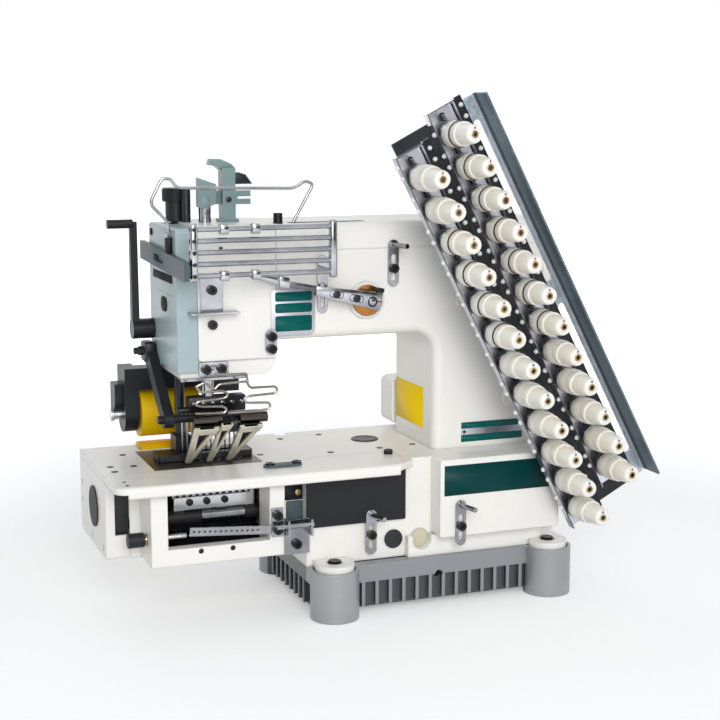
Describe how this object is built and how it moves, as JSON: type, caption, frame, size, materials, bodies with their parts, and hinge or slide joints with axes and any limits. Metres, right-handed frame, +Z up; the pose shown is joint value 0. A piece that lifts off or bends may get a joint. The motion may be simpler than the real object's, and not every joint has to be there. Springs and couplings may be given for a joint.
{
  "type": "multi-needle sewing machine",
  "caption": "Flat-bed multi-needle chain-stitch sewing machine on an oil base, with a rear roller puller, tape guides, thread rack and sloping thread tension stand.",
  "frame": {"origin": "centre of the four-leg bolt pattern, at the table surface under the legs", "axes": "+X along the bed towards the handwheel end, +Y to the back, +Z up"},
  "size_m": [0.5483, 0.2778, 0.5042],
  "materials": {
    "white_paint": "smooth semi-gloss enamel",
    "base_paint": "satin grey enamel",
    "green_paint": "semi-gloss grey-green enamel",
    "black_rubber": "matt",
    "black_paint": "satin black",
    "steel": "polished",
    "dark_steel": "ground",
    "amber": "clear gloss",
    "yellow_rubber": "smooth satin",
    "cream_plastic": "gloss",
    "zinc": "galvanised, satin"
  },
  "bodies": {
    "machine": {"bed_casting": "white_paint", "bed_cover": "white_paint", "end_cover": "white_paint", "arm_casting": "white_paint", "arm_top_cover": "white_paint", "head_cover": "white_paint", "column_cover": "white_paint", "base_tray": "base_paint", "face_cover": "green_paint", "thread_post": "green_paint", "rubber_parts": "black_rubber", "bed_panel": "black_paint", "tension_plate": "black_paint", "screws": "black_paint", "thread_rack": "steel", "tension_rails": "steel", "thread_guides": "steel", "needle_plate": "dark_steel", "rack_clamp": "dark_steel", "oil_sight": "amber", "tension_angle": "zinc"},
    "needle_drive": {"needle_bar": "steel", "needle_bracket": "green_paint"},
    "presser": {"presser_foot": "dark_steel"},
    "puller": {"puller_arm": "black_paint"},
    "tape_guide": {"guide_arm": "black_paint", "tape_guides": "steel"},
    "feed": {"feed_dog": "steel"},
    "looper": {"looper_rocker": "steel"},
    "take_up": {"take_up_lever": "steel"},
    "lifter": {"lifter_lever": "black_paint"},
    "wheel": {"handwheel": "white_paint"},
    "lower_puller_roller": {"lower_roller": "yellow_rubber"},
    "upper_puller_roller": {"upper_roller": "yellow_rubber"},
    "adjuster": {"adjust_knob": "black_paint"},
    "pressure": {"pressure_knob": "black_paint"},
    "tension_left_knob_1": {"left_knob_1": "cream_plastic"},
    "tension_left_knob_2": {"left_knob_2": "cream_plastic"},
    "tension_left_knob_3": {"left_knob_3": "cream_plastic"},
    "tension_left_knob_4": {"left_knob_4": "cream_plastic"},
    "tension_left_knob_5": {"left_knob_5": "cream_plastic"},
    "tension_left_knob_6": {"left_knob_6": "cream_plastic"},
    "tension_left_knob_7": {"left_knob_7": "cream_plastic"},
    "tension_left_knob_8": {"left_knob_8": "cream_plastic"},
    "tension_left_knob_9": {"left_knob_9": "cream_plastic"},
    "tension_left_knob_10": {"left_knob_10": "cream_plastic"},
    "tension_left_knob_11": {"left_knob_11": "cream_plastic"},
    "tension_left_knob_12": {"left_knob_12": "cream_plastic"},
    "tension_right_knob_1": {"right_knob_1": "cream_plastic"},
    "tension_right_knob_2": {"right_knob_2": "cream_plastic"},
    "tension_right_knob_3": {"right_knob_3": "cream_plastic"},
    "tension_right_knob_4": {"right_knob_4": "cream_plastic"},
    "tension_right_knob_5": {"right_knob_5": "cream_plastic"},
    "tension_right_knob_6": {"right_knob_6": "cream_plastic"},
    "tension_right_knob_7": {"right_knob_7": "cream_plastic"},
    "tension_right_knob_8": {"right_knob_8": "cream_plastic"},
    "tension_right_knob_9": {"right_knob_9": "cream_plastic"},
    "tension_right_knob_10": {"right_knob_10": "cream_plastic"},
    "tension_right_knob_11": {"right_knob_11": "cream_plastic"},
    "tension_right_knob_12": {"right_knob_12": "cream_plastic"}
  },
  "joints": [
    {"name": "needle_bar_slide", "type": "slide", "parent": "machine", "child": "needle_drive", "axis": [0, 0, 1], "range_m": [-0.012, 0.019]},
    {"name": "presser_lift", "type": "slide", "parent": "machine", "child": "presser", "axis": [0, 0, 1], "range_m": [0, 0.008]},
    {"name": "puller_lift", "type": "hinge", "parent": "machine", "child": "puller", "pos_m": [-0.22, 0.078, 0.246], "axis": [1, 0, 0], "range_deg": [0, 30]},
    {"name": "tape_guide_swing", "type": "hinge", "parent": "machine", "child": "tape_guide", "pos_m": [-0.258, 0.05, 0.25], "axis": [-1, 0, 0], "range_deg": [0, 10]},
    {"name": "feed_stroke", "type": "slide", "parent": "machine", "child": "feed", "axis": [0, 1, 0], "range_m": [-0.0025, 0.0025]},
    {"name": "looper_rock", "type": "hinge", "parent": "machine", "child": "looper", "pos_m": [-0.215, -0.03, 0.1], "axis": [1, 0, 0], "range_deg": [-5, 5]},
    {"name": "take_up_rock", "type": "hinge", "parent": "machine", "child": "take_up", "pos_m": [-0.069, -0.049, 0.305], "axis": [0, 1, 0], "range_deg": [-8, 8]},
    {"name": "presser_lifter_turn", "type": "hinge", "parent": "machine", "child": "lifter", "pos_m": [-0.258, 0.052, 0.274], "axis": [1, 0, 0], "range_deg": [0, 60]},
    {"name": "handwheel_turn", "type": "hinge", "parent": "machine", "child": "wheel", "pos_m": [0.125, 0.009, 0.318], "axis": [1, 0, 0], "continuous": true},
    {"name": "lower_roller_turn", "type": "hinge", "parent": "machine", "child": "lower_puller_roller", "pos_m": [-0.24, 0.085, 0.13], "axis": [1, 0, 0], "continuous": true},
    {"name": "upper_roller_turn", "type": "hinge", "parent": "puller", "child": "upper_puller_roller", "pos_m": [-0.24, 0.085, 0.182], "axis": [1, 0, 0], "continuous": true},
    {"name": "adjuster_turn", "type": "hinge", "parent": "machine", "child": "adjuster", "pos_m": [-0.293, -0.06, 0.09], "axis": [1, 0, 0], "continuous": true},
    {"name": "pressure_turn", "type": "hinge", "parent": "machine", "child": "pressure", "pos_m": [-0.238, 0.032, 0.381], "axis": [0, 0, 1], "continuous": true},
    {"name": "left_knob_1_turn", "type": "hinge", "parent": "machine", "child": "tension_left_knob_1", "pos_m": [-0.0425, -0.1208, 0.426], "axis": [0, -1, 0], "continuous": true},
    {"name": "left_knob_2_turn", "type": "hinge", "parent": "machine", "child": "tension_left_knob_2", "pos_m": [-0.02671, -0.1208, 0.39606], "axis": [0, -1, 0], "continuous": true},
    {"name": "left_knob_3_turn", "type": "hinge", "parent": "machine", "child": "tension_left_knob_3", "pos_m": [-0.01093, -0.1208, 0.36611], "axis": [0, -1, 0], "continuous": true},
    {"name": "left_knob_4_turn", "type": "hinge", "parent": "machine", "child": "tension_left_knob_4", "pos_m": [0.00486, -0.1208, 0.33617], "axis": [0, -1, 0], "continuous": true},
    {"name": "left_knob_5_turn", "type": "hinge", "parent": "machine", "child": "tension_left_knob_5", "pos_m": [0.02065, -0.1208, 0.30623], "axis": [0, -1, 0], "continuous": true},
    {"name": "left_knob_6_turn", "type": "hinge", "parent": "machine", "child": "tension_left_knob_6", "pos_m": [0.03644, -0.1208, 0.27629], "axis": [0, -1, 0], "continuous": true},
    {"name": "left_knob_7_turn", "type": "hinge", "parent": "machine", "child": "tension_left_knob_7", "pos_m": [0.05222, -0.1208, 0.24634], "axis": [0, -1, 0], "continuous": true},
    {"name": "left_knob_8_turn", "type": "hinge", "parent": "machine", "child": "tension_left_knob_8", "pos_m": [0.06801, -0.1208, 0.2164], "axis": [0, -1, 0], "continuous": true},
    {"name": "left_knob_9_turn", "type": "hinge", "parent": "machine", "child": "tension_left_knob_9", "pos_m": [0.0838, -0.1208, 0.18646], "axis": [0, -1, 0], "continuous": true},
    {"name": "left_knob_10_turn", "type": "hinge", "parent": "machine", "child": "tension_left_knob_10", "pos_m": [0.09959, -0.1208, 0.15651], "axis": [0, -1, 0], "continuous": true},
    {"name": "left_knob_11_turn", "type": "hinge", "parent": "machine", "child": "tension_left_knob_11", "pos_m": [0.11537, -0.1208, 0.12657], "axis": [0, -1, 0], "continuous": true},
    {"name": "left_knob_12_turn", "type": "hinge", "parent": "machine", "child": "tension_left_knob_12", "pos_m": [0.13116, -0.1208, 0.09663], "axis": [0, -1, 0], "continuous": true},
    {"name": "right_knob_1_turn", "type": "hinge", "parent": "machine", "child": "tension_right_knob_1", "pos_m": [-0.01124, -0.1208, 0.46599], "axis": [0, -1, 0], "continuous": true},
    {"name": "right_knob_2_turn", "type": "hinge", "parent": "machine", "child": "tension_right_knob_2", "pos_m": [0.00454, -0.1208, 0.43605], "axis": [0, -1, 0], "continuous": true},
    {"name": "right_knob_3_turn", "type": "hinge", "parent": "machine", "child": "tension_right_knob_3", "pos_m": [0.02033, -0.1208, 0.40611], "axis": [0, -1, 0], "continuous": true},
    {"name": "right_knob_4_turn", "type": "hinge", "parent": "machine", "child": "tension_right_knob_4", "pos_m": [0.03612, -0.1208, 0.37616], "axis": [0, -1, 0], "continuous": true},
    {"name": "right_knob_5_turn", "type": "hinge", "parent": "machine", "child": "tension_right_knob_5", "pos_m": [0.0519, -0.1208, 0.34622], "axis": [0, -1, 0], "continuous": true},
    {"name": "right_knob_6_turn", "type": "hinge", "parent": "machine", "child": "tension_right_knob_6", "pos_m": [0.06769, -0.1208, 0.31628], "axis": [0, -1, 0], "continuous": true},
    {"name": "right_knob_7_turn", "type": "hinge", "parent": "machine", "child": "tension_right_knob_7", "pos_m": [0.08348, -0.1208, 0.28634], "axis": [0, -1, 0], "continuous": true},
    {"name": "right_knob_8_turn", "type": "hinge", "parent": "machine", "child": "tension_right_knob_8", "pos_m": [0.09927, -0.1208, 0.25639], "axis": [0, -1, 0], "continuous": true},
    {"name": "right_knob_9_turn", "type": "hinge", "parent": "machine", "child": "tension_right_knob_9", "pos_m": [0.11505, -0.1208, 0.22645], "axis": [0, -1, 0], "continuous": true},
    {"name": "right_knob_10_turn", "type": "hinge", "parent": "machine", "child": "tension_right_knob_10", "pos_m": [0.13084, -0.1208, 0.19651], "axis": [0, -1, 0], "continuous": true},
    {"name": "right_knob_11_turn", "type": "hinge", "parent": "machine", "child": "tension_right_knob_11", "pos_m": [0.14663, -0.1208, 0.16656], "axis": [0, -1, 0], "continuous": true},
    {"name": "right_knob_12_turn", "type": "hinge", "parent": "machine", "child": "tension_right_knob_12", "pos_m": [0.16241, -0.1208, 0.13662], "axis": [0, -1, 0], "continuous": true}
  ],
  "couplings": [
    {"joint": "upper_roller_turn", "follows": "lower_roller_turn", "ratio": -0.91667}
  ]
}
